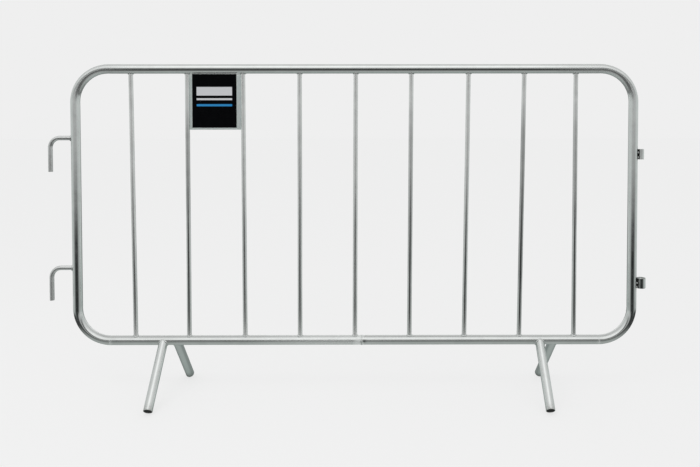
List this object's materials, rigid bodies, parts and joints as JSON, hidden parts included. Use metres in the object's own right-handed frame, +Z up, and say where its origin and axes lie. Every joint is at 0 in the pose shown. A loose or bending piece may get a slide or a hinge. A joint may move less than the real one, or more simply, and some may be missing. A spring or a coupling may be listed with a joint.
{
  "type": "pedestrian barrier panel",
  "caption": "Free-standing pedestrian barrier panel: rounded tube frame with upright infill bars, a small sign plate, splayed legs, and hooks and eyes that couple panels in a row.",
  "frame": {"origin": "on the floor, in the middle of the whole footprint: half way between the hooks' outer side and the lower eye's outer side, in the panel's plane", "axes": "+X along the panel from the hooks to the eyes, -Y towards the front with the label, +Z up"},
  "size_m": [2.1144, 0.3884, 1.1735],
  "materials": {
    "zinc_tube": "bright zinc-plated tube with drawn lines and faint handling marks",
    "zinc_bar": "bright zinc-plated round bar",
    "weld_metal": "rippled weld bead under zinc, duller than the tube",
    "zinc_sheet": "satin zinc-coated sheet",
    "label_vinyl": "black printed vinyl",
    "plug_plastic": "moulded black polyethylene"
  },
  "bodies": {
    "root": {"frame_tube": "zinc_tube", "frame_butt_weld": "weld_metal", "infill_bar_1": "zinc_bar", "infill_bar_2": "zinc_bar", "infill_bar_3": "zinc_bar", "infill_bar_4": "zinc_bar", "infill_bar_5": "zinc_bar", "infill_bar_6": "zinc_bar", "infill_bar_7": "zinc_bar", "infill_bar_8": "zinc_bar", "infill_bar_9": "zinc_bar", "bar_welds_top": "weld_metal", "bar_welds_bottom": "weld_metal", "sign_plate": "zinc_sheet", "plate_tack_welds": "weld_metal", "label_sticker": "label_vinyl", "upper_hook": "zinc_bar", "lower_hook": "zinc_bar", "hook_welds": "weld_metal", "upper_eye": "zinc_tube", "lower_eye": "zinc_tube", "eye_welds": "weld_metal", "left_front_leg": "zinc_tube", "left_rear_leg": "zinc_tube", "right_front_leg": "zinc_tube", "right_rear_leg": "zinc_tube", "leg_welds": "weld_metal", "left_front_foot_plug": "plug_plastic", "left_rear_foot_plug": "plug_plastic", "right_front_foot_plug": "plug_plastic", "right_rear_foot_plug": "plug_plastic"}
  },
  "joints": []
}
